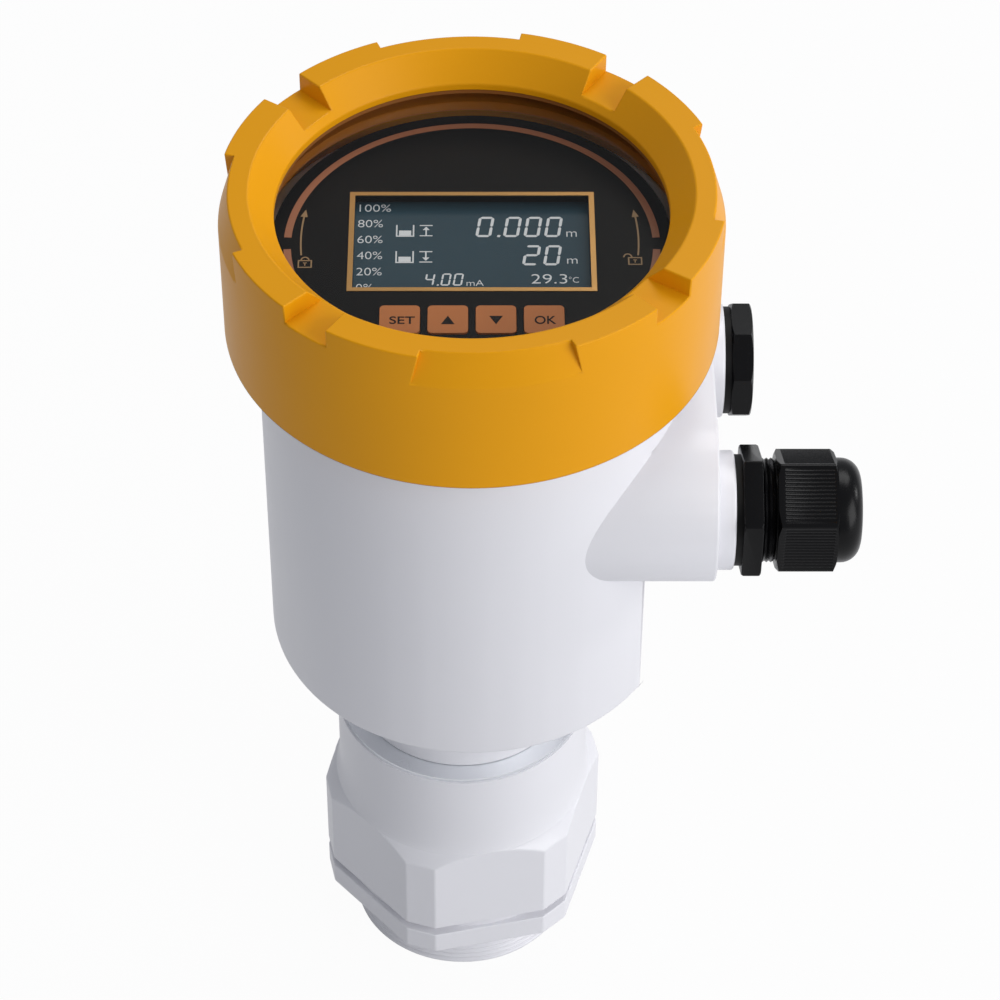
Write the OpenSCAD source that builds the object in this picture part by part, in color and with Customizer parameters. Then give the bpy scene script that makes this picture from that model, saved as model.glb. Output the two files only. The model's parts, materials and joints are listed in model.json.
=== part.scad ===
// Radar level transmitter with a screw cap, a turnable plastic housing and a threaded process fitting.
// Millimetres, +Z up. The origin is the centre of the process thread's lower end face.

/* [Process fitting] */
// Outside diameter of the process thread, M48 x 1.5
thread_d = 48; // [44:0.1:52]
// Length of the process thread below the collar
thread_len = 11.7; // [9:0.1:24]
// Width across the fitting's six wide flats
fitting_af = 55; // [54:0.5:60]
// Width across the six narrow flats that trim the corners
corner_af = 59.7; // [59:0.1:62]
// Height of the thin hexagonal collar above the thread
collar_h = 5.7; // [4:0.1:10]
// Height of the round groove between the collar and the hexagon
groove_h = 2.3; // [1:0.1:4]
// Diameter at the bottom of that groove
groove_d = 53.2; // [50:0.1:53.8]
// Height of the hexagon up to its chamfered corners
hex_h = 20.2; // [14:0.1:30]
// Rise of the turned chamfer for each millimetre of radius
chamfer_rise = 1.15; // [0.6:0.05:1.6]
// Diameter of the neck above the hexagon
neck_d = 53.3; // [50:0.1:53.6]
// Height of the neck's top face above the hexagon's corners
neck_h = 25.2; // [20:0.1:40]
// Radial width of the concave flare at the foot of the neck
flare_w = 1.1; // [0.4:0.1:1.4]
// Height of that flare
flare_h = 7.5; // [4:0.1:9]
// Angle of the hexagon about the vertical axis
hex_turn = 12.3; // [0:0.1:60]
// Diameter of the bore that holds the antenna
antenna_bore_d = 41; // [36:0.5:42]

/* [Swivel] */
// Outside diameter of the fitting's hollow stem inside the housing
stem_d = 26; // [22:0.5:30]
// Bore of the stem
stem_bore_d = 18; // [8:0.5:19]
// Thickness of the polished ring that the housing turns on
washer_t = 0.8; // [0.5:0.1:1.5]
// Outside diameter of that ring
washer_d = 52.4; // [48:0.1:52.8]
// Height of the swivel nut
swivel_nut_h = 6; // [4:0.1:8]
// Width across flats of the swivel nut
swivel_nut_af = 36; // [35:0.5:38]
// Thickness of the swivel's sealing ring
swivel_seal_t = 1.7; // [1.2:0.1:2.2]
// Radial play of the turning fits
running_play = 0.08; // [0.03:0.01:0.1]

/* [Antenna] */
// Depth of the lens behind the thread's end face
lens_setback = 1; // [0.5:0.1:2]
// Height of the lens at its rim
lens_rim_h = 5; // [3:0.1:6]
// Height of the lens's crown above its rim, inside the horn
lens_crown_h = 4; // [2:0.1:6]
// Wall of the metal horn
horn_wall = 1; // [0.6:0.1:1.5]
// Diameter of the horn's throat
horn_throat_d = 6; // [4:0.5:8]
// Height of the radar module above the horn
radar_h = 5; // [3:0.1:6]
// Diameter of the cable from the radar module
signal_cable_d = 3.2; // [2:0.1:5]

/* [Housing] */
// Sideways step from the process axis to the housing's axis
axis_step = 2; // [0:0.1:3]
// Wall of the threaded mouth round the display module
mouth_wall = 5.1; // [4:0.1:6]
// Step from the mouth's thread in to the housing's side
body_step = 2.15; // [1.5:0.05:3.5]
// Wall of the housing
wall = 3.3; // [2.5:0.1:3.8]
// Thickness of the housing's floor
floor_t = 3.5; // [2.5:0.1:5]
// Diameter of the spigot below the floor
spigot_d = 44.8; // [42:0.1:48]
// Visible length of the spigot
spigot_h = 25.5; // [20:0.1:34]
// Height from the housing's bottom to the screw cap's bottom edge
body_h = 81.2; // [78:0.1:90]
// Depth of the flat on the housing's side, below the junction box
flat_cut = 7.15; // [3:0.05:8]
// Step from the mouth's thread out to the flange under the cap
flange_step = 1.3; // [0.8:0.1:1.5]
// Height of the threaded mouth above the flange
mouth_h = 10.5; // [9:0.1:11]
// Clearance of the cap's bore round the mouth
mouth_play = 0.1; // [0.05:0.01:0.3]

/* [Junction box] */
// Reach of the junction box beyond the housing's side
box_reach = 5.85; // [4:0.05:10]
// Width of the junction box
box_w = 70.4; // [68:0.1:74]
// Radius of the box's upper corners
box_top_r = 18; // [17:0.1:20]
// Radius of the box's lower corners
box_low_r = 14; // [13:0.1:16]
// Distance between the two cable entries
entry_pitch = 42.8; // [40:0.1:45]
// Height of the entries above the housing's bottom
entry_h = 49.5; // [46:0.1:54]
// Diameter of the round boss at each entry
boss_d = 23.3; // [22.8:0.1:26]
// Height of each boss above the box's face
boss_h = 3.45; // [2:0.05:5]
// Diameter of the entry thread, M20
entry_d = 20; // [19:0.1:20.4]

/* [Screw cap] */
// Wall of the cap round the housing's mouth
cap_wall = 3.9; // [3.2:0.1:6]
// Height of the cap
cap_h = 32; // [31:0.1:36]
// Width of the cap's flat top ring
rim_w = 5.9; // [5:0.1:7.5]
// Width of the conical edge between the top ring and the opening
cone_w = 4.6; // [3:0.1:6]
// Depth of the conical edge down to the opening
cone_depth = 5.2; // [3:0.1:6]
// Thickness of the lip at the opening
lip_t = 1.5; // [1:0.1:2.5]
// Angle of the grip pattern about the cap's axis
grip_turn = 5.6; // [0:0.1:45]
// Angle covered by each narrow notch
notch_deg = 11.9; // [8:0.1:16]
// Depth of the notches
notch_depth = 3.9; // [2:0.1:5]
// Angle covered by each wide recess
recess_deg = 34.4; // [20:0.1:44]
// Radial depth of the wide recesses at the top
recess_in = 2; // [1:0.1:2.4]
// Height over which the wide recesses run out
recess_h = 7; // [5:0.1:12]
// Lean of the recesses' end walls
recess_lean = 11.7; // [0:0.1:15]
// Depth of the counterbore over the housing's flange
skirt_h = 4.8; // [4.6:0.1:6]
// Clearance of that counterbore round the flange
skirt_play = 0.4; // [0.2:0.1:0.8]

/* [Window] */
// Thickness of the sight glass
glass_t = 4; // [3:0.1:4.4]
// Clearance of the sight glass in the cap's bore
glass_play = 0.8; // [0.3:0.1:1.5]
// Thickness of the window gasket
gasket_t = 0.8; // [0.5:0.1:1]
// Height of the ring that holds the glass
window_ring_h = 2.2; // [1.5:0.1:2.4]
// Width of that ring
window_ring_w = 3.85; // [3:0.05:5]

/* [Display] */
// Depth of the display's face below the cap's top
face_depth = 13.8; // [13.6:0.1:15]
// Diameter of the display module
module_d = 76; // [70:0.5:90]
// Thickness of the front plate
plate_t = 1.5; // [1:0.1:2]
// Wall of the display cup
cup_wall = 1.6; // [1:0.1:2.4]
// Width of the trim round the display window
frame_w = 46.6; // [42:0.1:50]
// Height of that trim
frame_h = 28.4; // [26:0.1:29]
// Line width of the trim
frame_line = 1; // [0.6:0.1:1.6]
// Thickness of the trim on the plate
frame_t = 0.15; // [0.1:0.05:0.4]
// Forward offset of the display window's centre
frame_y = 0.5; // [0:0.1:1]
// Depth of the display glass below the plate's face
lcd_depth = 2.3; // [2:0.1:3]
// Thickness of the display glass
lcd_t = 2.8; // [1.5:0.1:3.5]
// Margin of the display glass behind the plate, on each side
lcd_margin = 2; // [1:0.1:2.2]

/* [Keys] */
// Size of a key from side to side
key_w = 7.45; // [6.5:0.05:7.6]
// Size of a key from front to back
key_l = 7.5; // [6.5:0.05:8]
// Distance from key to key
key_pitch = 8.88; // [8.8:0.01:10]
// Distance of the keys' centres in front of the axis
key_y = 21.65; // [21.5:0.05:24]
// Corner radius of a key
key_r = 0.9; // [0.4:0.1:1.5]
// Height of the keys above the plate
key_proud = 0.3; // [0.1:0.05:0.6]
// Travel of a key
key_travel = 0.5; // [0.3:0.05:0.8]
// Play of a key in the plate, on each side
key_play = 0.15; // [0.1:0.01:0.25]

/* [Boards] */
// Thickness of a circuit board
board_t = 1.6; // [1:0.1:2]
// Height of the main board's posts above the housing's floor
post_h = 25; // [20:0.5:30]
// Diameter of the main board
main_board_d = 66; // [60:0.5:68]
// Radius of the circle of its screws
post_circle_r = 28; // [24:0.5:29]
// Diameter of the screws' threads
screw_d = 3; // [2:0.1:3.5]

/* [Cable gland] */
// Width across flats of the gland's collar
gland_af = 23; // [22:0.1:25]
// Thickness of the gland's collar
gland_collar_t = 3.85; // [3:0.05:5]
// Thickness of the ring under the gland and under the plug
entry_seal_t = 1.35; // [1:0.05:2]
// Diameter of that ring
entry_seal_d = 21.7; // [21.4:0.1:22.6]
// Diameter of the gland's threaded shoulder
gland_shoulder_d = 19.7; // [19.2:0.1:20]
// Gap between the collar and the dome nut
gland_gap = 2.9; // [1.5:0.1:4]
// Width across flats of the dome nut
nut_af = 21.5; // [21.2:0.1:24]
// Length of the dome nut's hexagon
nut_hex_h = 11.6; // [10:0.1:14]
// Length of the dome beyond the hexagon
dome_h = 4.9; // [4:0.1:7]
// Diameter of the dome
dome_d = 20.4; // [20:0.1:21]
// Corner radius of the dome
dome_r = 3.8; // [2:0.1:4]
// Bore for the cable in the rubber insert
cable_d = 9; // [6:0.1:10]
// Bore through the dome
dome_bore_d = 13; // [12:0.1:14]

/* [Blanking plug] */
// Width across flats of the plug's octagon
plug_af = 22.4; // [21.6:0.1:25]
// Height of the plug's octagon
plug_h = 4.3; // [3:0.1:7]
// Radial depth of the chamfer on the plug's corners
plug_cut = 1; // [0.4:0.1:1.4]
// Length of the plug's and the gland's threads inside the housing
entry_thread_len = 8; // [6:0.1:8.5]

/* [Hidden] */
$fn = 96;

// A cut runs this far past the face that it opens
over = 1;
// Flat faces of two bodies that bear on each other stay this far apart
face_gap = 0.1;
// Play of a piece that only lies in its seat
seat_play = 0.2;

white = "#eeeff2";
yellow = "#e8a020";
black = "#191a1c";
copper = "#c47c4a";
gold = "#b07a2c";
steel = "#c3c8cc";
board_green = "#2d6a3c";
rubber = "#232323";

// Heights of the fitting's parts, from the thread's end face up
collar_z = thread_len;
groove_z = collar_z + collar_h;
hex_z = groove_z + groove_h;
hex_top_z = hex_z + hex_h;
neck_top_z = hex_top_z + neck_h;
washer_top_z = neck_top_z + washer_t;

thread_r = thread_d / 2;
neck_r = neck_d / 2;
stem_r = stem_d / 2;
antenna_bore_r = antenna_bore_d / 2;
flare_r = neck_r + flare_w;
corner_angle = 30;
// Distance from the axis to the edges between wide and narrow flats
corner_r = sqrt(
    pow(fitting_af / 2, 2) + pow(corner_af / 2, 2) - fitting_af * corner_af / 2 * cos(corner_angle)
) / sin(corner_angle);
chamfer_top_z = hex_top_z + (corner_r - flare_r) * chamfer_rise;
flare_steps = 8;

// Heights of the antenna's parts
lens_z = lens_setback;
lens_top_z = lens_z + lens_rim_h;
horn_top_z = hex_top_z - 2 * radar_h;
radar_top_z = horn_top_z + radar_h;
antenna_roof_z = radar_top_z + seat_play;
horn_throat_h = 3;
horn_rim_h = 2;
lens_crown_step = 3;

// Heights of the housing's parts
housing_z = neck_top_z + spigot_h + face_gap + washer_t;
floor_top_z = housing_z + floor_t;
spigot_z = washer_top_z + face_gap;
cap_z = housing_z + body_h;
cap_top_z = cap_z + cap_h;
entry_z = housing_z + entry_h;
flange_gap = 0.3;
flange_z = cap_z + flange_gap;
flange_h = 2.8;
flange_top_z = flange_z + flange_h;
mouth_top_z = flange_top_z + mouth_h;
module_r = module_d / 2;
mouth_bore_r = module_r + 2 * seat_play;
mouth_r = mouth_bore_r + mouth_wall;
flange_r = mouth_r + flange_step;
housing_r = mouth_r - body_step;
flat_x = housing_r - flat_cut;
spigot_r = spigot_d / 2;
hub_wall = 3.5;
hub_r = stem_r + running_play + hub_wall;
spigot_wall = 3;
edge_chamfer = 0.5;
mouth_chamfer = 1;

swivel_nut_z = floor_top_z + face_gap;
swivel_nut_top_z = swivel_nut_z + swivel_nut_h;
stem_end = 1;
stem_top_z = swivel_nut_top_z + stem_end;
swivel_seal_z = spigot_z + spigot_h / 2;
swivel_groove_h = 1.3 * swivel_seal_t;

// The display module hangs on lugs in the housing's mouth
face_z = cap_top_z - face_depth;
lug_z = flange_z;
lug_h = 3;
lug_w = 3.2;
lug_deg = 24;
cup_z = lug_z + lug_h;
plate_z = face_z - plate_t;
cup_post_h = 3;
display_board_z = cup_z + cup_wall + cup_post_h;
display_board_top_z = display_board_z + board_t;
display_board_r = module_r - cup_wall - 2 * seat_play;
cup_post_d = 4.4;
cup_post_turn = 30;
cup_post_r = display_board_r - cup_post_d;
lcd_top_z = face_z - lcd_depth;
lcd_z = lcd_top_z - lcd_t;
lcd_w = frame_w + 2 * lcd_margin;
lcd_h = frame_h + 2 * lcd_margin;
window_w = frame_w - 2 * frame_line;
window_h = frame_h - 2 * frame_line;

key_top_z = face_z + key_proud;
key_flange = 0.55;
key_flange_t = 1;
key_flange_top_z = plate_z - face_gap;
key_flange_z = key_flange_top_z - key_flange_t;
switch_gap = key_travel + face_gap / 2;
switch_size = 6;
switch_h = 3.8;
switch_top_z = display_board_top_z + switch_h;
switch_body_h = 3.2;
switch_body_top_z = display_board_top_z + switch_body_h;
plunger_r = 1.7;

// The window stack under the cap's lip
lip_z = cap_top_z - cone_depth - lip_t;
gasket_top_z = lip_z - face_gap / 2;
glass_top_z = gasket_top_z - gasket_t;
glass_z = glass_top_z - glass_t;
window_ring_top_z = glass_z - face_gap / 2;
window_ring_z = window_ring_top_z - window_ring_h;
cap_bore_r = mouth_r + mouth_play;
cap_r = cap_bore_r + cap_wall;
rim_in_r = cap_r - rim_w;
opening_r = rim_in_r - cone_w;
skirt_r = flange_r + skirt_play;
glass_r = cap_bore_r - glass_play;
window_ring_r = cap_bore_r - face_gap / 2;
skirt_top_z = cap_z + skirt_h;
cap_seal_play = 0.15;
cap_seal_t = skirt_top_z - flange_top_z - cap_seal_play;
grips = 4;

main_board_z = floor_top_z + post_h;
main_board_top_z = main_board_z + board_t;
post_d = 6.4;
screw_head_d = 5.6;
screw_head_h = 1.8;
screw_len = 8;
screw_end_play = 1;
board_flat_play = 1;

// What stands on the main board: a socket under it, the terminals, a ribbon cable and its header
inductor_at = [-12, 14];
inductor_r = 5;
inductor_h = 7;
capacitor_pitch = 9;
capacitor_y = -22;
capacitor_r = 3;
capacitor_h = 9;
processor_at = [-9, -3];
processor_w = 12;
modem_at = [3, 17];
modem_w = 8;
modem_l = 6;
chip_h = 1.5;
socket_w = 9;
socket_h = 5;
terminal_w = 28;
terminal_l = 11;
terminal_h = 12;
terminal_x = 14;
poles = 4;
pole_pitch = terminal_w / (poles + 1);
terminal_screw_r = 1.9;
terminal_floor = 6;
terminal_screw_z = main_board_top_z + terminal_floor;
slot_w = 0.6;
slot_depth = 1;
terminal_screw_h = 5;
wire_hole_w = 3.4;
wire_hole_h = 3.2;
wire_hole_z = main_board_top_z + (terminal_floor - wire_hole_h) / 2;
header_l = 5;
header_w = 16;
header_h = 5;
ribbon_x = -22;
ribbon_t = 0.6;
ribbon_w = 12;
ribbon_bend = 5;
ribbon_slot_w = 4;
ribbon_slot_l = ribbon_w + 2;

// The junction box
box_x = housing_r + box_reach;
box_half = box_w / 2;
boss_x = box_x + boss_h;
seal_x = boss_x + entry_seal_t;
entry_r = entry_d / 2;
entry_screw_r = entry_r - running_play;
entry_y = entry_pitch / 2;

// The cable gland, measured along its axis from the housing's axis
collar_x = seal_x;
shoulder_x = collar_x + gland_collar_t;
nut_x = shoulder_x + gland_gap;
dome_x = nut_x + nut_hex_h;
gland_end_x = dome_x + dome_h;
shoulder_len = gland_gap - seat_play;
cage_step = 0.35;
cage_wall = 1.2;
cage_setback = 1;
cage_r = gland_shoulder_d / 2 - cage_step;
nut_bore_r = cage_r + running_play;
cage_end_x = dome_x - cage_setback;
cage_tip_r = cage_r - cage_wall;
insert_r = cage_tip_r - cage_wall;
insert_x = shoulder_x + cage_setback;
insert_end_x = cage_end_x + seat_play / 2;
cage_slots = 4;
cage_slot_w = 1;
cage_taper = 4;
collar_cut = 0.6;
nut_cut = 1.2;
plug_sides = 8;
// Rise of a turned corner's chamfer for each millimetre of radius
turned_slope = 0.5;
through_r = insert_r + face_gap;

// ---------------------------------------------------------------- shared shapes

module disc(r, z, h) {
    translate([0, 0, z]) cylinder(r = r, h = h);
}

module ring(r_out, r_in, z, h) {
    difference() {
        disc(r_out, z, h);
        disc(r_in, z - over, h + 2 * over);
    }
}

module torus(r, section_r, z) {
    rotate_extrude() translate([r, z]) circle(r = section_r, $fn = 32);
}

module plate(w, l, z, h) {
    translate([-w / 2, -l / 2, z]) cube([w, l, h]);
}

module rounded_plate(w, l, r, z, h) {
    plate(w - 2 * r, l, z, h);
    plate(w, l - 2 * r, z, h);
    for (x = [-1, 1], y = [-1, 1])
        translate([x * (w / 2 - r), y * (l / 2 - r), 0]) disc(r, z, h);
}

// A turning that takes the corners of a prism back by low at its lower end and by high at its upper end
module turned_corners(corner, low, high, z, h) {
    rotate_extrude() polygon([
        [0, z], [corner - low, z], [corner + over, z + (low + over) * turned_slope],
        [corner + over, z + h - (high + over) * turned_slope], [corner - high, z + h], [0, z + h]
    ]);
}

// A regular prism of an even number of sides, with its corners on the X axis
module prism(af, sides, z, h) {
    translate([0, 0, z]) cylinder(r = af / 2 / cos(180 / sides), h = h, $fn = sides);
}

// Everything above the housing's floor shares its axis
module on_housing() {
    translate([axis_step, 0, 0]) children();
}

// Local Z runs out of the junction box, local X points down
module at_entry(side) {
    on_housing() translate([0, side * entry_y, entry_z]) rotate([0, 90, 0]) children();
}

// ---------------------------------------------------------------- process fitting

module hex_outline(z, h) {
    rotate([0, 0, hex_turn]) intersection() {
        prism(fitting_af, 6, z, h);
        rotate([0, 0, corner_angle]) prism(corner_af, 6, z, h);
    }
}

module fitting_turning() {
    rotate_extrude() polygon(concat(
        [[0, hex_z - over], [corner_r + over, hex_z - over]],
        [[corner_r + over, hex_top_z - over * chamfer_rise]],
        [for (i = [0 : flare_steps]) let (a = 90 * i / flare_steps) [
            flare_r - flare_w * sin(a),
            chamfer_top_z + flare_h * (1 - cos(a))
        ]],
        [[neck_r, neck_top_z], [0, neck_top_z]]
    ));
}

module process_fitting() {
    color(white) difference() {
        union() {
            disc(thread_r, 0, collar_z + over);
            hex_outline(collar_z, collar_h);
            disc(groove_d / 2, groove_z - over, groove_h + 2 * over);
            intersection() {
                fitting_turning();
                union() {
                    hex_outline(hex_z, neck_top_z - hex_z);
                    disc(neck_r, hex_z, neck_top_z - hex_z);
                }
            }
            disc(stem_r, neck_top_z - over, stem_top_z - neck_top_z + over);
        }
        disc(antenna_bore_r, -over, antenna_roof_z + over);
        disc(stem_bore_d / 2, antenna_roof_z - over, stem_top_z - antenna_roof_z + 2 * over);
        ring(stem_r + over, stem_r - swivel_seal_t, swivel_seal_z, swivel_groove_h);
    }
}

module antenna_lens() {
    crown_r = antenna_bore_r - lens_crown_step;
    color("white") rotate_extrude() polygon(concat(
        [[0, lens_z], [antenna_bore_r - face_gap, lens_z], [antenna_bore_r - face_gap, lens_top_z]],
        [for (i = [0 : 6]) let (a = 15 * i) [crown_r * cos(a), lens_top_z + lens_crown_h * sin(a)]]
    ));
}

module antenna_horn() {
    mouth = antenna_bore_r - face_gap;
    throat = horn_throat_d / 2;
    cone_z = lens_top_z + horn_rim_h;
    cone_top_z = horn_top_z - horn_throat_h;
    color(steel) rotate_extrude() polygon([
        [mouth, lens_top_z], [mouth, cone_z],
        [throat + horn_wall, cone_top_z], [throat + horn_wall, horn_top_z],
        [throat, horn_top_z], [throat, cone_top_z],
        [mouth - horn_wall, cone_z], [mouth - horn_wall, lens_top_z]
    ]);
}

module radar_module() {
    can_w = 0.9 * antenna_bore_r;
    color(board_green) disc(antenna_bore_r - 2 * face_gap, horn_top_z, board_t);
    color(steel) plate(can_w, can_w, horn_top_z + board_t, radar_h - board_t);
}

module signal_cable() {
    color(black) disc(signal_cable_d / 2, radar_top_z, main_board_z - socket_h - seat_play - radar_top_z);
}

module swivel_washer() {
    color(steel) ring(washer_d / 2, stem_r + face_gap, neck_top_z, washer_t);
}

module swivel_seal() {
    section = (swivel_seal_t + running_play / 2) / 2;
    color(rubber) torus(stem_r - swivel_seal_t + section, section, swivel_seal_z + swivel_groove_h / 2);
}

module swivel_nut() {
    color(steel) difference() {
        prism(swivel_nut_af, 6, swivel_nut_z, swivel_nut_h);
        disc(stem_r + face_gap / 2, swivel_nut_z - over, swivel_nut_h + 2 * over);
    }
}

// ---------------------------------------------------------------- housing

// Section of the junction box, with its own walls taken off by inset
module box_outline(inset, x0, x1) {
    half = box_half - inset;
    top = box_top_r - inset;
    low = box_low_r - inset;
    translate([x0, 0, entry_z]) {
        for (side = [-1, 1]) {
            translate([0, side * (half - low), 0]) rotate([0, 90, 0]) cylinder(r = low, h = x1 - x0);
            intersection() {
                translate([0, side * (half - top), 0]) rotate([0, 90, 0]) cylinder(r = top, h = x1 - x0);
                translate([0, -half, 0]) cube([x1 - x0, 2 * half, top]);
            }
        }
        translate([0, -(half - top), -low / 2]) cube([x1 - x0, 2 * (half - top), top + low / 2]);
        translate([0, -(half - low), -low]) cube([x1 - x0, 2 * (half - low), 1.5 * low]);
    }
}

// The round body with its flat side, from its bottom to the flange
module round_body(r, flat, z, h) {
    intersection() {
        disc(r, z, h);
        translate([flat - 4 * r, -2 * r, z - over]) cube([4 * r, 4 * r, h + 2 * over]);
    }
}

module housing_shell() {
    box_top_z = entry_z + box_top_r;
    rise = flange_r - housing_r;
    intersection() {
        round_body(housing_r, flat_x, housing_z, box_top_z - housing_z);
        rotate_extrude() polygon([
            [0, housing_z], [housing_r - edge_chamfer, housing_z], [housing_r, housing_z + edge_chamfer],
            [housing_r, box_top_z], [0, box_top_z]
        ]);
    }
    disc(housing_r, box_top_z - over / 2, flange_z - box_top_z);
    rotate_extrude() polygon([
        [0, flange_z - rise - over], [housing_r, flange_z - rise - over], [housing_r, flange_z - rise],
        [flange_r, flange_z], [flange_r, flange_top_z], [mouth_r, flange_top_z],
        [mouth_r, mouth_top_z - mouth_chamfer], [mouth_r - mouth_chamfer, mouth_top_z], [0, mouth_top_z]
    ]);
    box_outline(0, 0, box_x);
    for (side = [-1, 1])
        translate([0, side * entry_y, entry_z]) rotate([0, 90, 0]) disc(boss_d / 2, 0, boss_x);
}

module housing_cavity() {
    inner_r = housing_r - wall;
    box_roof_z = entry_z + box_top_r - wall;
    round_body(inner_r, flat_x - wall, floor_top_z, box_roof_z - floor_top_z);
    disc(inner_r, box_roof_z - over, flange_z - box_roof_z);
    disc(mouth_bore_r, flange_z - over, mouth_top_z - flange_z + 2 * over);
    box_outline(wall, 0, box_x - wall);
    for (side = [-1, 1])
        translate([0, side * entry_y, entry_z]) rotate([0, 90, 0])
            disc(entry_r, box_x - 2 * wall, boss_h + 3 * wall);
}

module display_lugs() {
    intersection() {
        ring(mouth_bore_r + over / 2, mouth_bore_r - lug_w, lug_z, lug_h);
        for (i = [0 : 3]) rotate([0, 0, 45 + 90 * i - lug_deg / 2]) sector(lug_deg, mouth_bore_r + over);
    }
}

// A wedge of the given angle, from the X axis round to the left
module sector(deg, r) {
    linear_extrude(height = cap_top_z + over) polygon([
        [0, 0], [2 * r, 0], [2 * r * cos(deg / 2), 2 * r * sin(deg / 2)], [2 * r * cos(deg), 2 * r * sin(deg)]
    ]);
}

module board_posts() {
    for (i = [0 : 3]) rotate([0, 0, 45 + 90 * i]) translate([post_circle_r, 0, 0])
        disc(post_d / 2, floor_top_z - over, post_h + over);
}

module board_screw_holes(r, z, h) {
    for (i = [0 : 3]) rotate([0, 0, 45 + 90 * i]) translate([post_circle_r, 0, 0]) disc(r, z, h);
}

module housing() {
    color(white) difference() {
        union() {
            on_housing() {
                difference() {
                    housing_shell();
                    housing_cavity();
                }
                display_lugs();
                difference() {
                    board_posts();
                    board_screw_holes(screw_d / 2, main_board_z - screw_len, screw_len + over);
                }
            }
            ring(spigot_r, spigot_r - spigot_wall, spigot_z, housing_z - spigot_z + over);
            disc(hub_r, spigot_z, floor_top_z - spigot_z);
            disc(spigot_r - spigot_wall / 2, spigot_z, spigot_wall);
        }
        disc(stem_r + running_play, spigot_z - over, floor_top_z - spigot_z + 2 * over);
        ring(spigot_r - spigot_wall, hub_r, spigot_z + spigot_wall, floor_top_z);
    }
}

module cap_seal() {
    section = cap_seal_t / 2;
    color(rubber) on_housing() torus(mouth_r + face_gap / 2 + section, section, flange_top_z + section);
}

// ---------------------------------------------------------------- boards

module main_board() {
    color(board_green) on_housing() difference() {
        intersection() {
            disc(main_board_d / 2, main_board_z, board_t);
            translate([-main_board_d, -main_board_d, 0])
                cube([main_board_d + flat_x - wall - board_flat_play, 2 * main_board_d, cap_top_z]);
        }
        board_screw_holes(screw_d / 2 + face_gap, main_board_z - over, board_t + 2 * over);
    }
}

module board_components() {
    on_housing() {
        // Socket of the radar module's cable, under the board on the stem's axis
        color(white) translate([-axis_step, 0, 0])
            plate(socket_w, socket_w, main_board_z - socket_h, socket_h);
        // Inductor and capacitors of the supply
        color(rubber) translate(inductor_at) disc(inductor_r, main_board_top_z, inductor_h);
        color(steel) for (i = [-1 : 1]) translate([i * capacitor_pitch, capacitor_y, 0])
            disc(capacitor_r, main_board_top_z, capacitor_h);
        // Processor and modem
        color(black) translate(processor_at) plate(processor_w, processor_w, main_board_top_z, chip_h);
        color(black) translate(modem_at) plate(modem_w, modem_l, main_board_top_z, chip_h);
        // Header of the ribbon cable
        color(black) translate([ribbon_x, 0, 0]) plate(header_l, header_w, main_board_top_z, header_h);
    }
}

module board_screws() {
    color(steel) on_housing() {
        board_screw_holes(screw_head_d / 2, main_board_top_z, screw_head_h);
        board_screw_holes(
            screw_d / 2, main_board_z - screw_len + screw_end_play,
            screw_len - screw_end_play + board_t + over / 2
        );
    }
}

module terminal_block() {
    color("#3f7d4e") on_housing() difference() {
        translate([terminal_x, 0, 0]) plate(terminal_l, terminal_w, main_board_top_z, terminal_h);
        for (i = [1 : poles]) {
            y = -terminal_w / 2 + i * pole_pitch;
            translate([terminal_x, y, 0]) disc(terminal_screw_r + face_gap, terminal_screw_z, terminal_h);
            translate([terminal_x, y - wire_hole_w / 2, wire_hole_z])
                cube([terminal_l, wire_hole_w, wire_hole_h]);
        }
    }
}

module terminal_screws() {
    color(steel) on_housing() for (i = [1 : poles])
        translate([terminal_x, -terminal_w / 2 + i * pole_pitch, 0]) difference() {
            disc(terminal_screw_r, terminal_screw_z, terminal_screw_h);
            plate(
                3 * terminal_screw_r, slot_w,
                terminal_screw_z + terminal_screw_h - slot_depth, 2 * slot_depth
            );
        }
}

// The ribbon runs from its header up to the display cup's floor in one slack bend
module ribbon_cable() {
    low = main_board_top_z + header_h;
    high = display_board_z;
    color("#9a9da3") on_housing() translate([ribbon_x, ribbon_w / 2, 0]) rotate([90, 0, 0])
        linear_extrude(height = ribbon_w) polygon([
            [-ribbon_t / 2, low], [ribbon_t / 2, low], [ribbon_bend, (2 * low + high) / 3],
            [ribbon_bend, (low + 2 * high) / 3], [ribbon_t / 2, high], [-ribbon_t / 2, high],
            [ribbon_bend - ribbon_t, (low + 2 * high) / 3], [ribbon_bend - ribbon_t, (2 * low + high) / 3]
        ]);
}

// ---------------------------------------------------------------- display module

module display_cup() {
    color(black) on_housing() difference() {
        union() {
            ring(module_r, module_r - cup_wall, cup_z, plate_z - cup_z);
            disc(module_r - over / 2, cup_z, cup_wall);
            for (i = [0 : 3]) rotate([0, 0, cup_post_turn + 90 * i]) translate([cup_post_r, 0, 0])
                disc(cup_post_d / 2, cup_z, display_board_z - cup_z);
        }
        translate([ribbon_x, 0, 0]) plate(ribbon_slot_w, ribbon_slot_l, cup_z - over, cup_wall + 2 * over);
    }
}

module display_board() {
    color(board_green) on_housing() disc(display_board_r, display_board_z, board_t);
}

module at_key(i) {
    on_housing() translate([(i - 1.5) * key_pitch, -key_y, 0]) children();
}

module key_switches() {
    for (i = [0 : 3]) at_key(i) {
        color(black) plate(switch_size, switch_size, display_board_top_z, switch_body_h);
        color(white) disc(plunger_r, switch_body_top_z, switch_top_z - switch_body_top_z);
    }
}

module lcd_backlight() {
    color("#d8e2e0") on_housing() translate([0, frame_y, 0])
        plate(lcd_w, lcd_h, display_board_top_z, lcd_z - display_board_top_z);
}

module lcd_panel() {
    color("#33474b") on_housing() translate([0, frame_y, 0]) plate(lcd_w, lcd_h, lcd_z, lcd_t);
}

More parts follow.
